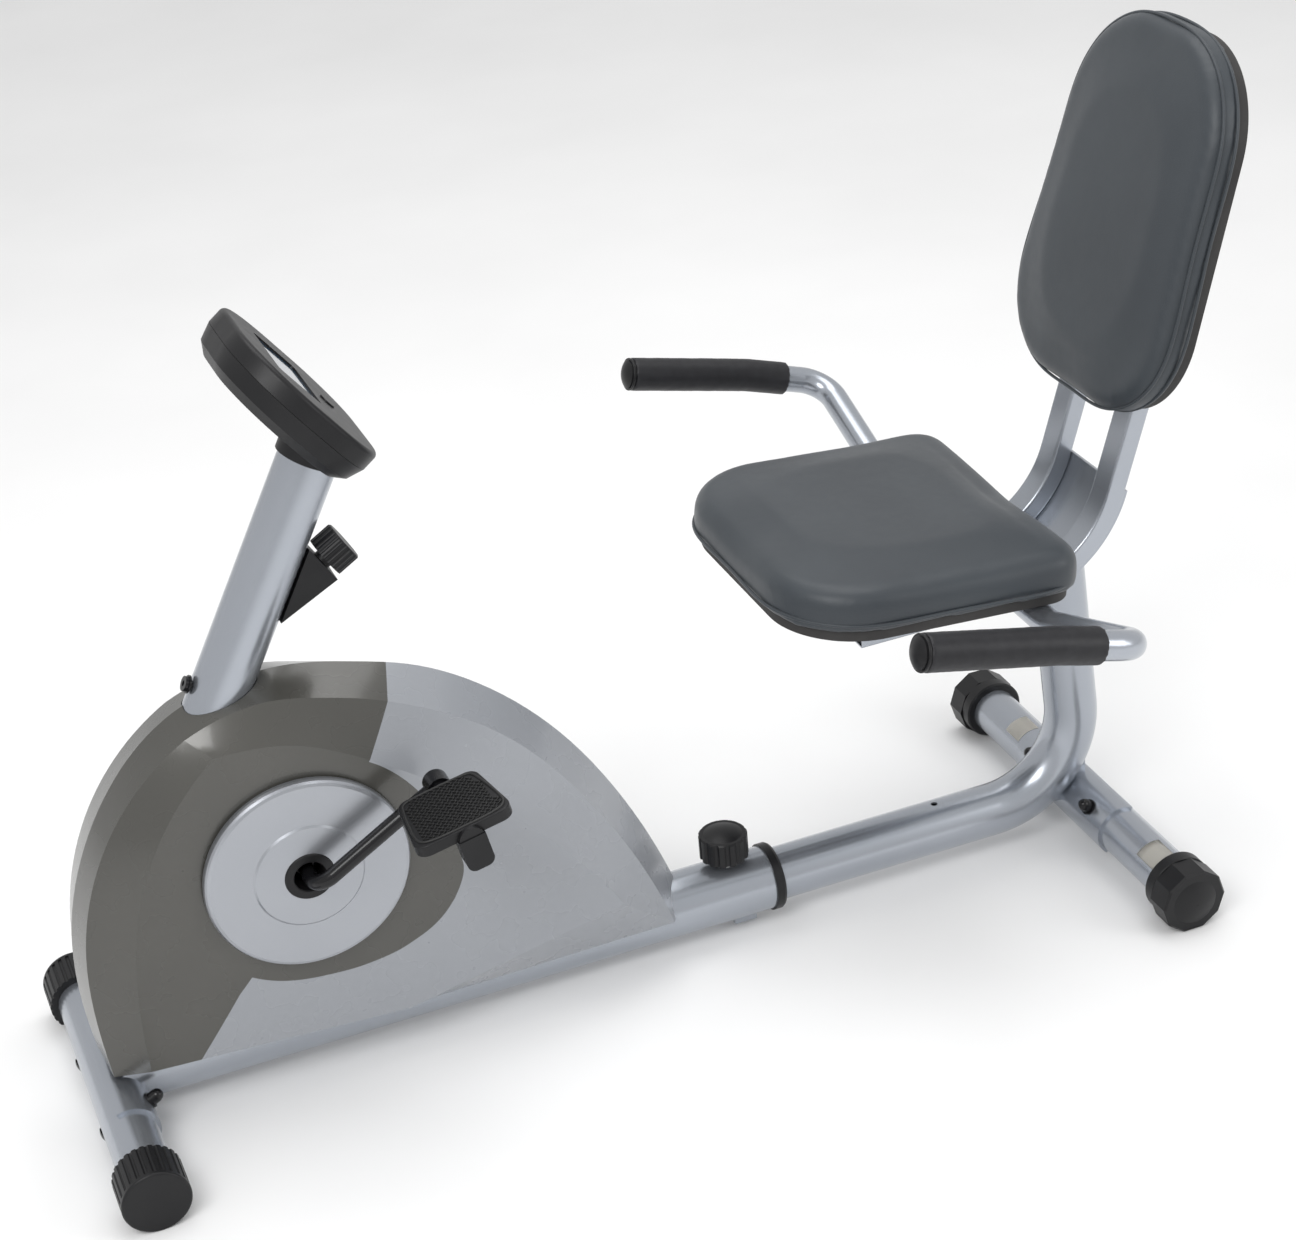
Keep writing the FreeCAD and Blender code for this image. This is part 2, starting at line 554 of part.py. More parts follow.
turned("drive_pulley", pulley_profile(S["drive_pulley_radius"], S["spindle_radius"], 4.0),
       crank_at + Y * S["pulley_inner"], Y)
turned("flywheel_pulley", pulley_profile(S["small_pulley_radius"], S["flywheel_shaft"], 4.0),
       fly_at + Y * S["pulley_inner"], Y)
fly_w, fly_r = S["flywheel_width"], S["flywheel_radius"]
turned("flywheel", [(0, -27), (S["flywheel_shaft"], -27), (S["flywheel_shaft"], -21), (16, -21), (16, -8),
                    (fly_r - 24, -8), (fly_r - 20, -fly_w / 2), (fly_r, -fly_w / 2), (fly_r, fly_w / 2),
                    (fly_r - 20, fly_w / 2), (fly_r - 24, 8), (16, 8), (16, 21), (S["flywheel_shaft"], 21),
                    (S["flywheel_shaft"], 44), (0, 44)], fly_at, Y)


def belt_loop(grow, y, width):
    """Open belt round both pulleys, its radius grown by a clearance or thickness."""
    span = fly_at - crank_at
    big, small = S["drive_pulley_radius"] + grow, S["small_pulley_radius"] + grow
    heading = math.atan2(span.z, span.x)
    lean = math.acos((big - small) / span.Length)

    def at(centre, radius, angle):
        return V(centre.x + radius * math.cos(angle), y, centre.z + radius * math.sin(angle))
    up, down = heading + lean, heading - lean
    edges = [Part.makeLine(at(crank_at, big, up), at(fly_at, small, up)),
             Part.Arc(at(fly_at, small, up), at(fly_at, small, heading), at(fly_at, small, down)).toShape(),
             Part.makeLine(at(fly_at, small, down), at(crank_at, big, down)),
             Part.Arc(at(crank_at, big, down), at(crank_at, big, heading + math.pi), at(crank_at, big, up)).toShape()]
    return Part.Face(Part.Wire(edges)).extrude(Y * width)


belt_y = S["pulley_inner"] + 2.2
belt = belt_loop(0.35 + S["belt_thickness"], belt_y, 5.6).cut(belt_loop(0.35, belt_y, 5.6))
feature("drive_belt", belt)

# ---------------------------------------------------------------- pedals

def pedal_parts():
    """Platform pedal in its own frame: spindle along +Y, tread facing +Z."""
    outline = [(-44, 0), (34, 0), (46, pedal_len), (-50, pedal_len)]
    plate = extrude([V(px, py, 1) for px, py in outline], Z * (S["pedal_thickness"] - 4))
    plate = plate.makeFillet(12, edges_at(plate, lambda b: b.ZLength > 5))
    plate = plate.makeFillet(1.5, edges_at(plate, lambda b: b.ZMin > S["pedal_thickness"] - 3.2))
    barrel = cylinder(12, V(), Y, pedal_len + 4)
    weight = centred_box(V(0, pedal_len - 5, -15), 26, 20, 34)
    weight = weight.makeFillet(8, edges_at(weight, lambda b: b.YLength > 15 and b.ZMax < -20))
    body = plate.fuse([barrel, weight]).cut(cylinder(6.05, V(0, -1, 0), Y, pedal_len - 4)).removeSplitter()
    return body


for side, word, eye in ((-1, "left", left_eye), (1, "right", right_eye)):
    body = pedal_parts()
    if side < 0:
        body = mirrored(body)
    body.Placement = FreeCAD.Placement(eye + Y * side * PEDAL_INNER, FreeCAD.Rotation(Y, -S["pedal_tilt"]))
    feature("pedal_" + word, body)

# ---------------------------------------------------------------- pull knob

dome_z = tube_z + tube_r + 9
pull = ribbed_knob(S["pull_knob_radius"], 26, 14, 3.2)
pull = pull.fuse(Part.makeSphere(52, V(0, 0, -22)).common(Part.makeCylinder(S["pull_knob_radius"] - 5, 40, V(0, 0, 20))))
pull.Placement = FreeCAD.Placement(V(knob_x, 0, dome_z), FreeCAD.Rotation())
pin_tip = tube_z + S["rear_tube_radius"] + 0.4
pull = pull.fuse(cylinder(4.0, V(knob_x, 0, pin_tip), Z, dome_z + 17 - pin_tip))
feature("pull_knob", pull.removeSplitter())

# ---------------------------------------------------------------- sliding rear frame

rear_x = S["rear_foot_x"]
BEND = 95.0
lean_top = V(1023, 0, 350)
rear_points = [V(S["rear_tube_start"], 0, tube_z), V(1050, 0, tube_z), lean_top]
back_a = math.radians(S["back_tilt"])
back_up = V(math.sin(back_a), 0, math.cos(back_a))
back_rear = V(math.cos(back_a), 0, -math.sin(back_a))
back_at = V(S["back_x"], 0, S["back_z"])
BACK_FACE = 21.0        # from the pad's reference plane to the board's rear face
upright_mid = back_at + back_rear * (BACK_FACE + S["upright_depth"] / 2)
UPRIGHT_LOW = 333.0
corner = upright_mid - back_up * ((upright_mid.z - UPRIGHT_LOW) / back_up.z)
upright_path = bent_path([V(775, 0, UPRIGHT_LOW), corner, upright_mid + back_up * 92], [120.0])
carrier_path = bent_path([V(905, 0, UPRIGHT_LOW), corner, upright_mid - back_up * 264], [120.0])


def swept_strip(path, half_width, low, high):
    """A rectangular section swept along a path that starts towards +X."""
    start = path.OrderedVertexes[0].Point
    y = half_width
    ring = Part.makePolygon([start + V(0, a, b) for a, b in ((-y, low), (y, low), (y, high), (-y, high), (-y, low))])
    return path.makePipeShell([ring], True, True)


depth = S["upright_depth"] / 2
upright = swept_strip(upright_path, S["upright_width"] / 2, -depth, depth)
upright = upright.makeFillet(3.0, edges_at(upright, lambda b: max(b.XLength, b.ZLength) > 60))
upright_bore = swept_strip(upright_path, S["upright_width"] / 2 - 1.6, -depth + 1.6, depth - 1.6)
upright = upright.cut(upright_bore)
for side, word in ((-1, "left"), (1, "right")):
    moved = upright.copy()
    moved.translate(Y * side * S["upright_spread"])
    feature("upright_" + word, moved)

carrier = swept_strip(carrier_path, S["upright_spread"] + 12, -depth - 4, -depth)
feature("seat_carrier", carrier)

tube_trim = swept_strip(carrier_path, 60, -depth - 4, 90)
rear_tube = round_tube(rear_points, [BEND], S["rear_tube_radius"], S["rear_tube_wall"]).cut(tube_trim)
HOLE_PITCH, HOLE_COUNT = 40.0, 5
for i in range(HOLE_COUNT):
    rear_tube = rear_tube.cut(cylinder(5.0, V(knob_x - i * HOLE_PITCH, 0, tube_z), Z, 60))
rear_tube = rear_tube.cut(cylinder(3.5, V(879, 0, tube_z), Z, 60))
feature("rear_tube", rear_tube)

plug_x = S["rear_tube_start"]
turned("tube_glide", [(0, -26), (bore_r - S["running_gap"], -26), (bore_r - S["running_gap"], 0), (0, 0)],
       V(plug_x, 0, tube_z), X)

rear_saddle = saddle(rear_x, rear_z, 88, 62, 232)
gusset = centred_box(V(rear_x - 22, 0, rear_z + 26), 50, 16, 50)
gusset = gusset.cut(cylinder(foot_r, V(rear_x, -100, rear_z), Y, 200))
rear_saddle = rear_saddle.fuse(gusset).cut(round_bar(rear_points, [BEND], S["rear_tube_radius"]))
pieces = sorted(rear_saddle.Solids, key=lambda solid: solid.Volume)
feature("rear_saddle", foot_holes(pieces[-1], rear_x, rear_z, REAR_BOLT_ANGLE))
foot_tube("rear_stabilizer", rear_x, rear_z, S["rear_foot_half"], REAR_BOLT_ANGLE)
for side, word in ((-1, "left"), (1, "right")):
    feature("rear_bolt_" + word, foot_bolt(rear_x, rear_z, REAR_BOLT_ANGLE, side))

collar_in, collar_len = S["level_collar_inner"], S["level_collar_length"]
CAM_SIDES, CAM_APOTHEM, CAM_DROP = 10, 33.5, 2.5
for side, word in ((-1, "left"), (1, "right")):
    turned("level_collar_" + word, [(foot_r, 0), (31.5, 0), (33, 1.5), (33, collar_len - 1), (32, collar_len),
                                    (foot_r, collar_len)], V(rear_x, side * collar_in, rear_z), Y * side)
    cam_y = collar_in + collar_len + 0.5
    sides = []
    for i in range(CAM_SIDES):
        angle = 2 * math.pi * (i + 0.5) / CAM_SIDES - math.pi / 2
        reach = CAM_APOTHEM / math.cos(math.pi / CAM_SIDES)
        sides.append(V(reach * math.cos(angle), reach * math.sin(angle), 0))
    cam = extrude(sides, Z * 27)
    cam = cam.makeChamfer(2.0, edges_at(cam, lambda b: b.ZMin > 26.9))
    dome = Part.makeSphere(60, V(0, 0, -28)).common(Part.makeCylinder(27, 14, V(0, 0, 22)))
    cam = cam.fuse(dome)
    cam.Placement = FreeCAD.Placement(V(rear_x, side * cam_y, rear_z - CAM_DROP), FreeCAD.Rotation(X, -90 * side))
    socket = cylinder(foot_r + 0.06, V(rear_x, side * (cam_y - 1), rear_z), Y * side, 20.5)
    feature("level_cap_" + word, cam.cut(socket))

# ---------------------------------------------------------------- seat

seat_turn = FreeCAD.Rotation(Y, S["seat_tilt"])
seat_place = FreeCAD.Placement(V(S["seat_front_x"], 0, S["seat_bottom_z"]), seat_turn)


def seat_outline(shrink, z):
    wide, length = S["seat_width"] - 2 * shrink, S["seat_length"] - 2 * shrink
    wire = rounded(wide, wide, length, 92 - shrink, 34 - shrink * 0.5, z)
    wire.Placement = FreeCAD.Placement(V(S["seat_length"] / 2, 0, 0), FreeCAD.Rotation(Z, -90))
    return wire


board = slab(seat_outline(10, 0), S["seat_board"])
board.Placement = seat_place
feature("seat_board", board)
foam = slab(seat_outline(0, S["seat_board"]), S["seat_foam"])
foam_top = S["seat_board"] + S["seat_foam"]
foam = foam.makeFillet(20, edges_at(foam, lambda b: b.ZMin > foam_top - 0.1))
foam.Placement = seat_place
feature("seat_cushion", foam)

bar_r = S["bar_radius"]
bar_z = UPRIGHT_LOW + depth + bar_r
BAR_X = 925.0
for x0, word in ((784.0, "front"), (866.0, "rear")):
    riser = centred_box(V(x0 + 14, 0, 380), 28, 150, 90)
    riser = riser.cut(centred_box(V(x0 + 17, 0, 380), 28, 160, 84).cut(centred_box(V(x0 + 17, 0, 380), 28, 160, 60)))
    above = Part.makeBox(600, 400, 200, V(-100, -200, 0))
    above.Placement = seat_place
    riser = riser.cut(above).cut(centred_box(V(x0, 0, UPRIGHT_LOW), 100, 400, 2 * depth))
    feature("seat_riser_" + word, riser)

# ---------------------------------------------------------------- back rest

back_turn = FreeCAD.Rotation(Y * -1, back_up, back_rear * -1, "ZXY")


def back_outline(shrink, z):
    return rounded(S["back_width_low"] - 2 * shrink, S["back_width_top"] - 2 * shrink,
                   S["back_height"] - 2 * shrink, 92 - shrink, 108 - shrink, z)


back_place = FreeCAD.Placement(back_at + back_rear * BACK_FACE, back_turn)
board = slab(back_outline(7, 0), S["back_board"])
board.Placement = back_place
feature("back_board", board)
foam = slab(back_outline(0, S["back_board"]), S["back_foam"])
foam_top = S["back_board"] + S["back_foam"]
foam = foam.makeFillet(16, edges_at(foam, lambda b: b.ZMin > foam_top - 0.1))
foam.Placement = back_place
feature("back_cushion", foam)

# ---------------------------------------------------------------- handlebar

TIP, KNEE, TURN, INNER = V(707, 338, 475), V(836, 336, 444), V(926, 331, 416), V(BAR_X, 168, bar_z)
right_half = [TIP, KNEE, TURN, INNER]
bar_points = right_half + [V(p.x, -p.y, p.z) for p in reversed(right_half)]
BAR_BENDS = [60.0, 34.0, 60.0, 60.0, 34.0, 60.0]
feature("handlebar", round_tube(bar_points, BAR_BENDS, bar_r, S["bar_wall"]))

grip_end = KNEE + (TURN - KNEE).normalize() * 46
grip = round_bar([TIP, KNEE, grip_end], [60.0], S["grip_radius"])
grip = grip.cut(round_bar([TIP, KNEE, grip_end], [60.0], bar_r))
tip_dir = (TIP - KNEE).normalize()
plug = cylinder(S["grip_radius"] - 0.5, TIP + tip_dir * 0.3, tip_dir, 3).fuse(
    Part.makeSphere(26, TIP - tip_dir * 16.5).common(cylinder(S["grip_radius"] - 2.5, TIP + tip_dir * 3, tip_dir, 12)))
plug = plug.fuse(cylinder(bar_r - S["bar_wall"], TIP - tip_dir * 14, tip_dir, 15))
feature("grip_right", grip)
feature("grip_left", mirrored(grip))
feature("grip_plug_right", plug.removeSplitter())
feature("grip_plug_left", mirrored(plug.removeSplitter()))

# ---------------------------------------------------------------- output

doc.recompute()
os.makedirs("parts", exist_ok=True)
problems = []
for name, obj in nodes:
    if "Invalid" in obj.State or "Error" in obj.State or obj.Shape.isNull() or not obj.Shape.isValid():
        problems.append(name)
    obj.Shape.exportStep("parts/%s.step" % name)
if problems:
    raise RuntimeError("bad shapes: " + ", ".join(problems))
print(len(nodes), "sub-parts written")
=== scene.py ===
import json
import math

import bmesh
import bpy
from mathutils import Matrix, Vector


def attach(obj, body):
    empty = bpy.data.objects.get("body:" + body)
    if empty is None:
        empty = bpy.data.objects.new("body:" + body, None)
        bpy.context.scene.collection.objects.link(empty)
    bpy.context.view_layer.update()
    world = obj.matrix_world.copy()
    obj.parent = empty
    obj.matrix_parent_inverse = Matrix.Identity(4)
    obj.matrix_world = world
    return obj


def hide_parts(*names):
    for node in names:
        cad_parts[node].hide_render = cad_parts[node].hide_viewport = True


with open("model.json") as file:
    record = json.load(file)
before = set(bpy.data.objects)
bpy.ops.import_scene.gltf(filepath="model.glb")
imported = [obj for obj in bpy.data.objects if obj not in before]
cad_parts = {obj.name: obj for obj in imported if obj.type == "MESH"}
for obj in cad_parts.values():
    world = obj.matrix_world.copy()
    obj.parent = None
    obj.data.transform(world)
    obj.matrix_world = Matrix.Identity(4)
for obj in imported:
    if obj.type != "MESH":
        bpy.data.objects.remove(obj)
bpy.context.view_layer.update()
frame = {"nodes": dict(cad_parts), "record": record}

NODES = frame["nodes"]
SLOT_OF = {entry["node"]: entry["material_slot"] for entry in frame["record"]["subparts"]}

REACH = 0.5736          # from the front stabiliser's axis to the row frame's origin

# Sizes that the CAD source also holds, in its own millimetres and degrees.
CRANK_X, CRANK_Z = 207, 248
CRANK_LENGTH, CRANK_ANGLE, CRANK_PLANE = 145, 30.5, 95
PEDAL_INNER, PEDAL_LENGTH, PEDAL_TILT = 17, 80, 11.7
SEAT_FRONT_X, SEAT_BOTTOM_Z, SEAT_LENGTH, SEAT_TILT = 667, 391, 304, 4
BACK_X, BACK_Z, BACK_TILT, BACK_FACE = 1106, 682, 17.5, 21
BOARD = 0.010           # thickness of the seat and back boards, in metres
GRIP_TIP, GRIP_KNEE = (707, 338, 475), (836, 336, 444)
REAR_FOOT_X, REAR_FOOT_Z, FOOT_RADIUS = 1051, 36, 25


def at(x, y, z):
    """A point given in millimetres from the front stabiliser's axis, in the row frame."""
    return Vector((x / 1000 - REACH, y / 1000, z / 1000))


# ---------------------------------------------------------------- materials

class Graph:
    """Shorthand for building one procedural material."""

    def __init__(self, name):
        self.material = bpy.data.materials.new(name)
        self.material.use_nodes = True
        self.tree = self.material.node_tree
        self.tree.nodes.clear()
        self.shader = self.add("ShaderNodeBsdfPrincipled")
        out = self.add("ShaderNodeOutputMaterial")
        self.link(self.shader.outputs[0], out.inputs["Surface"])
        self.where = self.add("ShaderNodeTexCoord").outputs["Object"]

    def add(self, kind, **settings):
        node = self.tree.nodes.new(kind)
        for key, value in settings.items():
            setattr(node, key, value)
        return node

    def link(self, source, target):
        self.tree.links.new(source, target)

    def noise(self, scale, detail):
        node = self.add("ShaderNodeTexNoise")
        node.inputs["Scale"].default_value = scale
        node.inputs["Detail"].default_value = detail
        self.link(self.where, node.inputs["Vector"])
        return node.outputs[0]

    def cells(self, scale):
        node = self.add("ShaderNodeTexVoronoi")
        node.inputs["Scale"].default_value = scale
        self.link(self.where, node.inputs["Vector"])
        return node.outputs["Distance"]

    def ramp(self, source, stops):
        node = self.add("ShaderNodeValToRGB")
        ramp = node.color_ramp
        while len(ramp.elements) < len(stops):
            ramp.elements.new(0.5)
        for element, (place, colour) in zip(ramp.elements, stops):
            element.position = place
            element.color = (*colour, 1.0)
        self.link(source, node.inputs[0])
        return node.outputs[0]

    def span(self, source, low, high):
        node = self.add("ShaderNodeMapRange")
        node.inputs["To Min"].default_value = low
        node.inputs["To Max"].default_value = high
        self.link(source, node.inputs["Value"])
        return node.outputs[0]

    def maths(self, operation, first, second=None):
        node = self.add("ShaderNodeMath", operation=operation)
        for place, value in enumerate((first, second)):
            if isinstance(value, (int, float)):
                node.inputs[place].default_value = value
            elif value is not None:
                self.link(value, node.inputs[place])
        return node.outputs[0]

    def blend(self, factor, first, second):
        node = self.add("ShaderNodeMix", data_type="RGBA")
        self.link(factor, node.inputs[0])
        self.link(first, node.inputs[6])
        self.link(second, node.inputs[7])
        return node.outputs[2]

    def bump(self, height, distance, strength=1.0, after=None):
        node = self.add("ShaderNodeBump")
        node.inputs["Distance"].default_value = distance
        node.inputs["Strength"].default_value = strength
        self.link(height, node.inputs["Height"])
        if after is not None:
            self.link(after, node.inputs["Normal"])
        return node.outputs[0]

    def finish(self, colour=None, rough=None, normal=None, **constants):
        if colour is not None:
            self.link(colour, self.shader.inputs["Base Color"])
        if rough is not None:
            self.link(rough, self.shader.inputs["Roughness"])
        if normal is not None:
            self.link(normal, self.shader.inputs["Normal"])
        for key, value in constants.items():
            self.shader.inputs[key.replace("_", " ")].default_value = value
        return self.material


def speckled(name, low, high, rough, grain, grain_depth, ripple=0.0002, **constants):
    """Paint or plastic: cloudy tone, uneven gloss, fine grain over a faint slow ripple."""
    g = Graph(name)
    cloud = g.noise(14, 6)
    colour = g.ramp(cloud, [(0.3, low), (0.7, high)])
    gloss = g.span(g.noise(60, 5), rough[0], rough[1])
    slow = g.bump(g.noise(9, 2), ripple, 0.6)
    fine = g.bump(g.noise(grain, 3), grain_depth, 0.5, slow)
    return g.finish(colour, gloss, fine, **constants)


def metal_paint(name, low, high, rough):
    """Silver paint with flakes in it."""
    g = Graph(name)
    flakes = g.cells(2600)
    tone = g.maths("ADD", g.maths("MULTIPLY", g.noise(5, 2), 0.6), g.maths("MULTIPLY", flakes, 0.2))
    colour = g.ramp(tone, [(0.25, low), (0.75, high)])
    gloss = g.span(g.noise(30, 2), rough[0], rough[1])
    slow = g.bump(g.noise(12, 1), 0.00005, 0.4)
    fine = g.bump(g.noise(700, 2), 0.00001, 0.25, slow)
    return g.finish(colour, gloss, fine, Metallic=0.8, Coat_Weight=0.25, Coat_Roughness=0.15)


def shroud_finish():
    """Two-tone cover: taupe round the crank disc and at the front, silver grey behind."""
    g = Graph("shroud_two_tone")
    split = g.add("ShaderNodeSeparateXYZ")
    g.link(g.where, split.inputs[0])
    dx = g.maths("SUBTRACT", split.outputs[0], at(CRANK_X, 0, 0).x)
    dz = g.maths("SUBTRACT", split.outputs[2], CRANK_Z / 1000)
    reach = g.maths("SQRT", g.maths("ADD", g.maths("MULTIPLY", dx, dx), g.maths("MULTIPLY", dz, dz)))
    turn = g.maths("ADD", g.maths("DIVIDE", g.maths("ARCTAN2", dz, dx), 2 * math.pi), 0.5)
    curve = g.add("ShaderNodeFloatCurve")
    # The taupe's edge: (angle about the crank, radius). At the full reach it runs on to the rim.
    full = 250
    border = [(-180, full), (-126, full), (-125, 121), (-108, 121), (-90, 122), (-73, 129), (-53, 143),
              (-35, 155), (-23, 157), (-10, 148), (5, 133), (27, 124), (53, 119), (54, full), (180, full)]
    points = curve.mapping.curves[0].points
    while len(points) < len(border):
        points.new(0.5, 0.5)
    for point, (angle, radius) in zip(points, border):
        point.location = ((angle + 180) / 360, radius / full)
        point.handle_type = "VECTOR" if radius == full or angle in (-125, 53) else "AUTO_CLAMPED"
    curve.mapping.update()
    g.link(turn, curve.inputs["Value"])
    edge = curve.outputs[0]
    inside = g.maths("LESS_THAN", reach, g.maths("MULTIPLY", edge, full / 1000))
    dark = g.maths("MAXIMUM", inside, g.maths("GREATER_THAN", edge, 0.97))
    cloud = g.noise(5, 2)
    taupe = g.ramp(cloud, [(0.3, (0.058, 0.057, 0.051)), (0.7, (0.076, 0.074, 0.066))])
    grey = g.ramp(g.maths("ADD", g.maths("MULTIPLY", cloud, 0.7), g.maths("MULTIPLY", g.cells(1400), 0.15)),
                  [(0.25, (0.275, 0.288, 0.312)), (0.8, (0.315, 0.329, 0.355))])
    colour = g.blend(dark, grey, taupe)
    gloss = g.span(g.noise(30, 2), 0.25, 0.3)
    slow = g.bump(g.noise(6, 1), 0.00005, 0.4)
    fine = g.bump(g.noise(600, 2), 0.00001, 0.25, slow)
    return g.finish(colour, gloss, fine, Metallic=0.15, Coat_Weight=0.4, Coat_Roughness=0.12)


def vinyl_finish():
    """Charcoal seat vinyl: pebbled grain, slow creases, soft sheen."""
    g = Graph("seat_vinyl")
    cloud = g.noise(7, 6)
    colour = g.ramp(cloud, [(0.3, (0.030, 0.036, 0.043)), (0.7, (0.040, 0.048, 0.056))])
    pebble = g.cells(900)
    gloss = g.span(g.maths("ADD", g.maths("MULTIPLY", pebble, 0.5), g.noise(80, 4)), 0.36, 0.48)
    slow = g.bump(g.noise(12, 2), 0.0008, 0.35)
    crease = g.bump(g.noise(90, 3), 0.0002, 0.3, slow)
    fine = g.bump(pebble, 0.00012, 0.5, crease)
    return g.finish(colour, gloss, fine, Sheen_Weight=0.08, Specular_IOR_Level=0.42)


def foam_finish():
    """Closed-cell foam: matt, pitted all over."""
    g = Graph("grip_foam")
    colour = g.ramp(g.noise(90, 6), [(0.3, (0.008, 0.008, 0.010)), (0.75, (0.014, 0.014, 0.017))])
    pits = g.cells(900)
    gloss = g.span(g.noise(200, 4), 0.4, 0.55)
    return g.finish(colour, gloss, g.bump(pits, 0.0001, 0.4), Specular_IOR_Level=0.4)


def lens_finish():
    """Display window: smoked, with cloudy paler patches and fine scuffs."""
    g = Graph("display_window")
    colour = g.ramp(g.noise(25, 4), [(0.35, (0.018, 0.05, 0.09)), (0.7, (0.03, 0.075, 0.13))])
    gloss = g.span(g.noise(140, 5), 0.05, 0.14)
    return g.finish(colour, gloss, g.bump(g.noise(400, 3), 0.00004, 0.3), Coat_Weight=0.6)


FINISH = {
    "silver": metal_paint("silver_paint", (0.37, 0.395, 0.435), (0.43, 0.455, 0.5), (0.24, 0.28)),
    "cover": metal_paint("disc_paint", (0.35, 0.365, 0.395), (0.42, 0.435, 0.465), (0.3, 0.34)),
    "shroud_shell": shroud_finish(),
    "vinyl": vinyl_finish(),
    "foam_grip": foam_finish(),
    "lens": lens_finish(),
    "black_steel": speckled("black_gloss_steel", (0.004, 0.004, 0.005), (0.008, 0.008, 0.009), (0.16, 0.24),
                            700, 0.00003, Specular_IOR_Level=0.35),
    "black_plastic": speckled("black_moulding", (0.006, 0.006, 0.007), (0.012, 0.012, 0.013), (0.34, 0.46),
                              900, 0.00005, Specular_IOR_Level=0.3),
    "grey_plastic": speckled("grey_moulding", (0.13, 0.135, 0.14), (0.19, 0.195, 0.2), (0.36, 0.5),
                             900, 0.0001),
    "zinc": speckled("bright_zinc", (0.5, 0.5, 0.49), (0.68, 0.675, 0.65), (0.22, 0.4), 800, 0.00005,
                     Metallic=1.0),
    "iron": speckled("cast_iron", (0.12, 0.12, 0.12), (0.2, 0.2, 0.2), (0.35, 0.6), 500, 0.0003,
                     Metallic=0.9),
    "board": speckled("pressed_board", (0.018, 0.017, 0.017), (0.035, 0.033, 0.032), (0.6, 0.78),
                      300, 0.0003),
    "belt_rubber": speckled("belt_rubber", (0.01, 0.01, 0.01), (0.022, 0.022, 0.022), (0.6, 0.75),
                            700, 0.0002),
    "label": speckled("blank_label", (0.6, 0.58, 0.53), (0.72, 0.7, 0.65), (0.3, 0.45), 500, 0.00003),
    "tread": speckled("tread_rubber", (0.007, 0.007, 0.007), (0.014, 0.014, 0.014), (0.45, 0.6),
                      800, 0.00015),
}
for name, node in NODES.items():
    for holder in node.material_slots:
        holder.material = FINISH[SLOT_OF[name]]


# ---------------------------------------------------------------- small builders

def new_object(name, mesh, finish, body):
    obj = bpy.data.objects.new(name, mesh)
    bpy.context.scene.collection.objects.link(obj)
    obj.data.materials.clear()
    obj.data.materials.append(FINISH[finish])
    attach(obj, body)
    return obj


def from_bmesh(name, bm, finish, body, smooth=True):
    bmesh.ops.recalc_face_normals(bm, faces=bm.faces)
    mesh = bpy.data.meshes.new(name)
    bm.to_mesh(mesh)
    bm.free()
    for face in mesh.polygons:
        face.use_smooth = smooth
    return new_object(name, mesh, finish, body)


def bead(name, points, radius, finish, body):
    """A round bead along a smooth closed line."""
    curve = bpy.data.curves.new(name, "CURVE")
    curve.dimensions = "3D"
    curve.bevel_depth = radius
    curve.bevel_resolution = 4
    line = curve.splines.new("NURBS")
    line.points.add(len(points) - 1)
    for target, point in zip(line.points, points):
        target.co = (*point, 1.0)
    line.use_cyclic_u = True
    line.order_u = 4
    line.resolution_u = 4
    return new_object(name, curve, finish, body)


def ring_bead(name, centre, axis, radius, thick, finish, body):
    """A round bead in a circle about an axis."""
    turn = Vector((0, 0, 1)).rotation_difference(axis)
    points = [centre + turn @ Vector((radius * math.cos(a), radius * math.sin(a), 0))
              for a in (2 * math.pi * i / 32 for i in range(32))]
    return bead(name, points, thick, finish, body)


# ---------------------------------------------------------------- cushions

class Pad:
    """A pad's own frame: u and v across it, w through its thickness."""

    def __init__(self, origin, u, v, w):
        self.origin, self.u, self.v, self.w = origin, u, v, w

    def inward(self, point):
        d = point - self.origin
        return Vector((d.dot(self.u), d.dot(self.v), d.dot(self.w)))

    def outward(self, local):
        return self.origin + self.u * local[0] + self.v * local[1] + self.w * local[2]


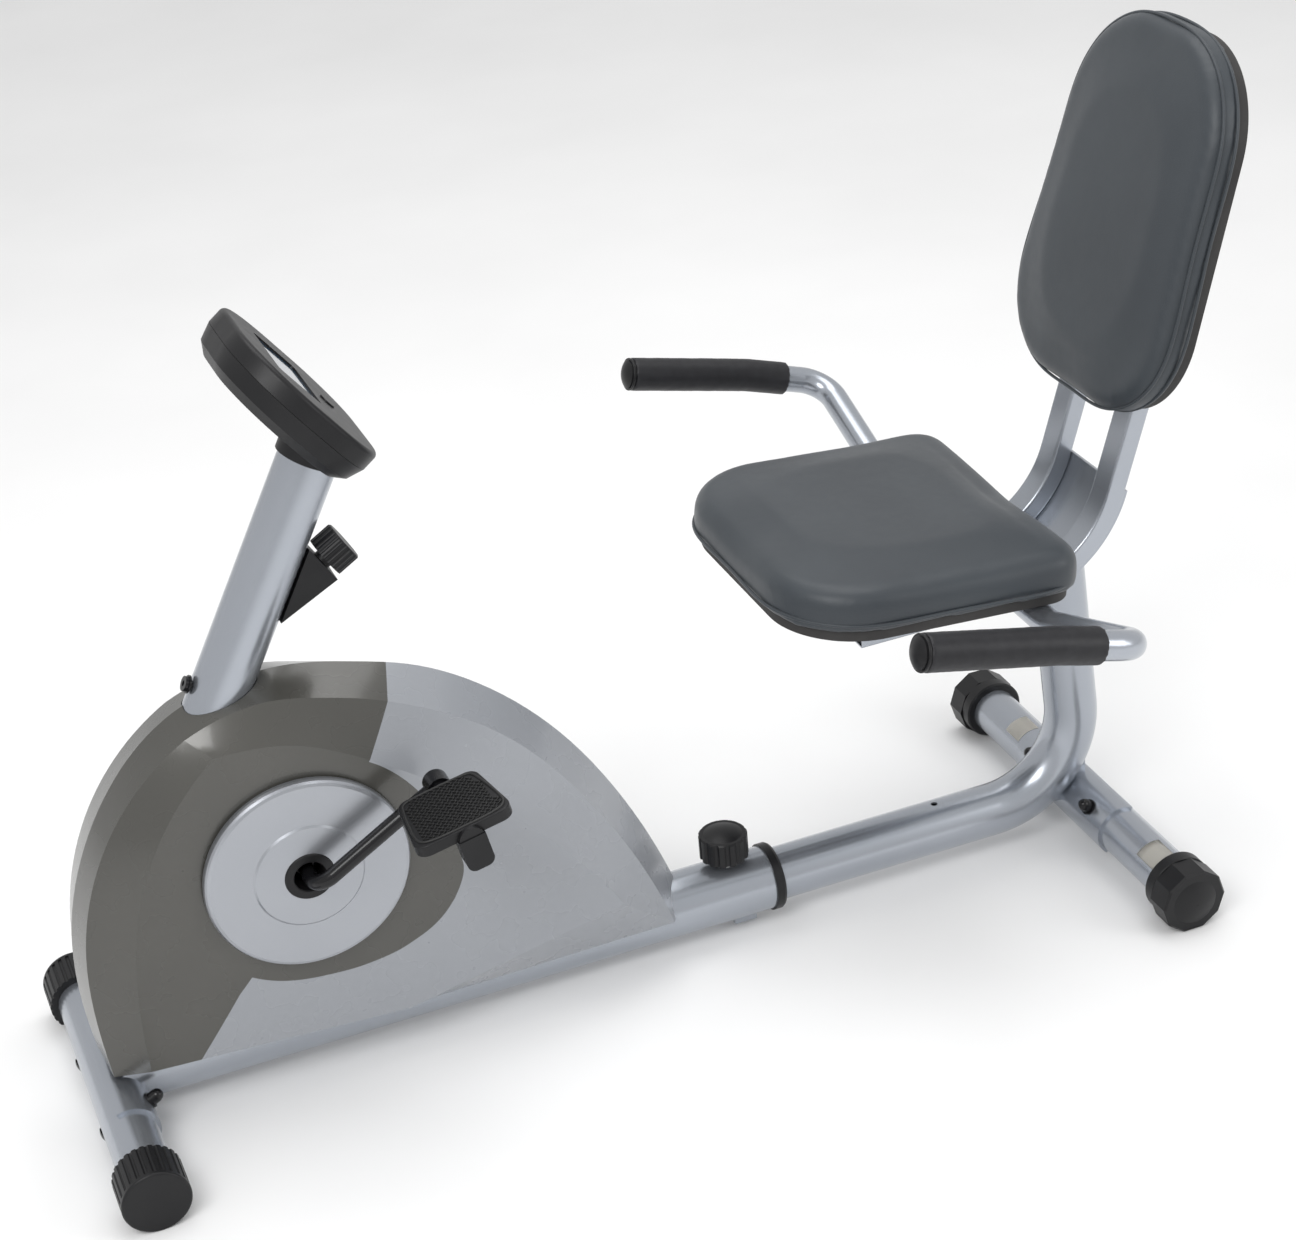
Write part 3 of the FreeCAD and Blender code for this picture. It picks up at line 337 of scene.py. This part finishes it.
def stuffed(name, node, pad, middle, swell):
    """Cushion swollen by a short cloth simulation from a slightly smaller copy of the CAD solid."""
    floor, shrink, pressure, voxel = BOARD, 0.985, 4.0, 0.005
    source = NODES[node]
    mesh = source.data.copy()
    obj = bpy.data.objects.new(name, mesh)
    bpy.context.scene.collection.objects.link(obj)
    for vert in mesh.vertices:
        local = pad.inward(vert.co)
        local.x = middle + (local.x - middle) * shrink
        local.y *= shrink
        local.z = floor + (local.z - floor) * 0.93
        vert.co = pad.outward(local)
    bpy.context.view_layer.objects.active = obj
    obj.select_set(True)
    remesh = obj.modifiers.new("even", "REMESH")
    remesh.mode = "VOXEL"
    remesh.voxel_size = voxel
    bpy.ops.object.modifier_apply(modifier=remesh.name)
    start = [v.co.copy() for v in obj.data.vertices]
    held = obj.vertex_groups.new(name="held")
    for vert in obj.data.vertices:
        if pad.inward(vert.co).z < floor + 0.006:
            held.add([vert.index], 1.0, "REPLACE")
    cloth = obj.modifiers.new("swell", "CLOTH")
    cloth.settings.use_pressure = True
    cloth.settings.uniform_pressure_force = pressure
    cloth.settings.effector_weights.gravity = 0.0
    cloth.settings.quality = 6
    cloth.settings.tension_stiffness = cloth.settings.compression_stiffness = 60.0
    cloth.settings.shear_stiffness = 30.0
    cloth.settings.bending_stiffness = 8.0
    cloth.settings.vertex_group_mass = held.name
    cloth.point_cache.frame_start, cloth.point_cache.frame_end = 1, 20
    for step in range(1, 21):
        bpy.context.scene.frame_set(step)
    bpy.ops.object.modifier_apply(modifier=cloth.name)
    bpy.context.scene.frame_set(1)
    moves = [vert.co - old for vert, old in zip(obj.data.vertices, start)]
    pairs = [tuple(edge.vertices) for edge in obj.data.edges]
    for _ in range(40):
        sums, counts = [move.copy() for move in moves], [1] * len(moves)
        for i, j in pairs:
            sums[i] += moves[j]
            sums[j] += moves[i]
            counts[i] += 1
            counts[j] += 1
        moves = [total / count for total, count in zip(sums, counts)]
    for vert, old, move in zip(obj.data.vertices, start, moves):
        vert.co = old + move * min(1.0, swell / max(move.length, 1e-9))
        local = pad.inward(vert.co)
        if local.z < floor:
            local.z = floor
            vert.co = pad.outward(local)
    smooth = obj.modifiers.new("relax", "SMOOTH")
    smooth.factor, smooth.iterations = 0.5, 6
    bpy.ops.object.modifier_apply(modifier=smooth.name)
    fine = obj.modifiers.new("fine", "SUBSURF")
    fine.levels = fine.render_levels = 1
    bpy.ops.object.modifier_apply(modifier=fine.name)
    for face in obj.data.polygons:
        face.use_smooth = True
    obj.select_set(False)
    obj.data.materials.clear()
    obj.data.materials.append(FINISH["vinyl"])
    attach(obj, "seat_frame")
    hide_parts(node)
    return obj


def skirt(obj, pad, middle, height, band=0.004, count=72):
    """The pad's outline at one height through its thickness, as points lying on the vinyl."""
    reach = [0.0] * count
    for vert in obj.data.vertices:
        local = pad.inward(vert.co)
        if abs(local.z - height) < band:
            angle = math.atan2(local.y, local.x - middle) % (2 * math.pi)
            index = int(angle / (2 * math.pi) * count) % count
            reach[index] = max(reach[index], math.hypot(local.x - middle, local.y))
    for _ in range(count):
        reach = [r or max(reach[i - 1], reach[(i + 1) % count]) for i, r in enumerate(reach)]
    for _ in range(2):
        reach = [(reach[i - 1] + 2 * r + reach[(i + 1) % count]) / 4 for i, r in enumerate(reach)]
    points = []
    for i, r in enumerate(reach):
        angle = 2 * math.pi * (i + 0.5) / count
        points.append(pad.outward((r * math.cos(angle) + middle, r * math.sin(angle), height)))
    return points


tilt = math.radians(SEAT_TILT)
ACROSS = Vector((0, 1, 0))
seat_rear = Vector((math.cos(tilt), 0, -math.sin(tilt)))
seat_up = Vector((math.sin(tilt), 0, math.cos(tilt)))
seat_pad = Pad(at(SEAT_FRONT_X, 0, SEAT_BOTTOM_Z), seat_rear, ACROSS, seat_up)
lean = math.radians(BACK_TILT)
back_up = Vector((math.sin(lean), 0, math.cos(lean)))
back_front = Vector((-math.cos(lean), 0, math.sin(lean)))
back_pad = Pad(at(BACK_X, 0, BACK_Z) - back_front * (BACK_FACE / 1000), back_up, ACROSS, back_front)

seat_middle = SEAT_LENGTH / 2000
seat = stuffed("seat_cushion_soft", "seat_cushion", seat_pad, seat_middle, 0.009)
back = stuffed("back_cushion_soft", "back_cushion", back_pad, 0.0, 0.008)
bead("seat_piping", skirt(seat, seat_pad, seat_middle, 0.019), 0.0017, "vinyl", "seat_frame")
bead("back_piping_rear", skirt(back, back_pad, 0.0, 0.016), 0.0017, "vinyl", "seat_frame")
bead("back_piping_front", skirt(back, back_pad, 0.0, 0.031), 0.0016, "vinyl", "seat_frame")

# ---------------------------------------------------------------- foam grips

for word, side in (("left", -1), ("right", 1)):
    source = NODES["grip_" + word]
    grip = bpy.data.objects.new("foam_grip_" + word, source.data.copy())
    bpy.context.scene.collection.objects.link(grip)
    bpy.context.view_layer.objects.active = grip
    even = grip.modifiers.new("even", "REMESH")
    even.mode = "VOXEL"
    even.voxel_size = 0.0018
    bpy.ops.object.modifier_apply(modifier=even.name)
    relax = grip.modifiers.new("relax", "SMOOTH")
    relax.factor, relax.iterations = 0.5, 3
    bpy.ops.object.modifier_apply(modifier=relax.name)
    lumps = bpy.data.textures.new("foam_lumps_" + word, "CLOUDS")
    lumps.noise_scale = 0.012
    swell = grip.modifiers.new("lumps", "DISPLACE")
    swell.texture = lumps
    swell.texture_coords = "LOCAL"
    swell.strength = 0.0005
    bpy.ops.object.modifier_apply(modifier=swell.name)
    for face in grip.data.polygons:
        face.use_smooth = True
    grip.data.materials.clear()
    grip.data.materials.append(FINISH["foam_grip"])
    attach(grip, "seat_frame")
    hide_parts("grip_" + word)
    tip, knee = (at(x, side * y, z) for x, y, z in (GRIP_TIP, GRIP_KNEE))
    along = (tip - knee).normalized()
    ring_bead("grip_plug_rim_" + word, tip + along * 0.0022, along, 0.0162, 0.0012, "black_plastic",
              "seat_frame")

# ---------------------------------------------------------------- pedal treads

PEDAL_TURN = Matrix.Rotation(math.radians(-PEDAL_TILT), 4, "Y")
arm = math.radians(CRANK_ANGLE)


def pedal_width(y):
    """Lowest and highest x of the pedal's platform at a distance from its inner end."""
    share = y / PEDAL_LENGTH
    return -44 - 6 * share, 34 + 12 * share


for word, side in (("left", -1), ("right", 1)):
    eye = at(CRANK_X - side * CRANK_LENGTH * math.cos(arm), side * (CRANK_PLANE + PEDAL_INNER),
             CRANK_Z - side * CRANK_LENGTH * math.sin(arm))
    place = Matrix.Translation(eye) @ PEDAL_TURN

    def on_pedal(x, y, z):
        return place @ Vector((x / 1000, side * y / 1000, z / 1000))
    bm = bmesh.new()
    for row in range(17):
        middle = -48 + row * 5.6
        steps = []
        for i in range(25):
            y = 5 + i * 70 / 24
            x = middle + (1.9 if i % 2 else -1.9)
            low, high = pedal_width(y)
            corner = max(0.0, 12 - min(y - 3, 77 - y))
            if low + 5 + corner * 0.6 < x < high - 5 - corner * 0.6:
                steps.append((x, y))
        for first, second in zip(steps, steps[1:]):
            if second[1] - first[1] > 4:
                continue
            rim = [(-0.95, 11.6), (-0.6, 13.2), (0.6, 13.2), (0.95, 11.6)]
            ends = [[bm.verts.new(on_pedal(p[0] + dx, p[1], z)) for dx, z in rim] for p in (first, second)]
            bm.faces.new(ends[0])
            bm.faces.new(ends[1][::-1])
            for i in range(4):
                j = (i + 1) % 4
                bm.faces.new((ends[0][i], ends[1][i], ends[1][j], ends[0][j]))
    bmesh.ops.remove_doubles(bm, verts=bm.verts, dist=0.00002)
    from_bmesh("pedal_tread_" + word, bm, "tread", word + "_pedal", smooth=False)
    edge = [(-37, 3.2), (0, 3.2), (26, 3.2), (31, 8), (37, 38), (42.5, 66), (36, 76.8), (0, 76.8),
            (-38, 76.8), (-46, 68), (-43.5, 38), (-41, 10)]
    bead("pedal_rim_" + word, [on_pedal(x, y, 12.1) for x, y in edge], 0.0013, "tread",
         word + "_pedal")

# ---------------------------------------------------------------- blank labels on the rear stabiliser

for word, y0, y1 in (("near", -190, -152), ("far", 96, 124)):
    bm = bmesh.new()
    rows = []
    for i in range(15):
        angle = math.radians(78 + i * 66 / 14)
        offset = FOOT_RADIUS + 0.25
        rows.append([bm.verts.new(at(REAR_FOOT_X + offset * math.cos(angle), y0 + (y1 - y0) * k / 4,
                                     REAR_FOOT_Z + offset * math.sin(angle))) for k in range(5)])
    for lower, upper in zip(rows, rows[1:]):
        for k in range(4):
            bm.faces.new((lower[k], lower[k + 1], upper[k + 1], upper[k]))
    bmesh.ops.solidify(bm, geom=bm.faces[:], thickness=0.00015)
    from_bmesh("label_blank_" + word, bm, "label", "seat_frame")

# ---------------------------------------------------------------- stage, light and camera

bpy.ops.mesh.primitive_plane_add(size=40, location=(0, 0, -0.0002))
floor = bpy.context.object
floor.name = "floor"
g = Graph("floor_pale")
pale = g.ramp(g.noise(2.0, 3), [(0.3, (0.86, 0.86, 0.86)), (0.7, (0.9, 0.9, 0.9))])
floor.data.materials.append(g.finish(pale, g.span(g.noise(6, 3), 0.7, 0.8), Specular_IOR_Level=0.2))

world = bpy.data.worlds.new("studio")
world.use_nodes = True
world.node_tree.nodes["Background"].inputs[0].default_value = (1.0, 1.0, 1.0, 1.0)
world.node_tree.nodes["Background"].inputs[1].default_value = 0.72
bpy.context.scene.world = world
bpy.context.scene.view_settings.view_transform = "Standard"


def lamp(name, place, target, size, power):
    data = bpy.data.lights.new(name, "AREA")
    data.shape = "RECTANGLE"
    data.size, data.size_y = size
    data.energy = power
    obj = bpy.data.objects.new(name, data)
    obj.location = place
    obj.rotation_euler = (Vector(target) - Vector(place)).to_track_quat("-Z", "Y").to_euler()
    bpy.context.scene.collection.objects.link(obj)


lamp("key", (-1.6, -1.7, 2.6), (0, 0, 0.35), (1.6, 1.2), 42)
lamp("top", (0.4, 0.5, 3.0), (0.1, 0, 0.3), (2.4, 1.6), 34)
lamp("side", (2.4, -1.9, 1.5), (0.2, 0, 0.4), (1.2, 1.6), 18)

camera_data = bpy.data.cameras.new("camera")
camera = bpy.data.objects.new("camera", camera_data)
bpy.context.scene.collection.objects.link(camera)
camera_data.sensor_width = 36
camera_data.lens = 74.72
a, e, r = math.radians(19.381), math.radians(29.014), math.radians(-5.209)
forward = Vector((math.sin(a) * math.cos(e), math.cos(a) * math.cos(e), -math.sin(e)))
level = Vector((math.cos(a), -math.sin(a), 0))
upright = level.cross(forward)
cam_right = level * math.cos(r) + upright * math.sin(r)
cam_up = upright * math.cos(r) - level * math.sin(r)
turn = Matrix((cam_right, cam_up, -forward)).transposed().to_4x4()
camera.matrix_world = Matrix.Translation((-0.165 - REACH, -2.124, 1.626)) @ turn
bpy.context.scene.camera = camera
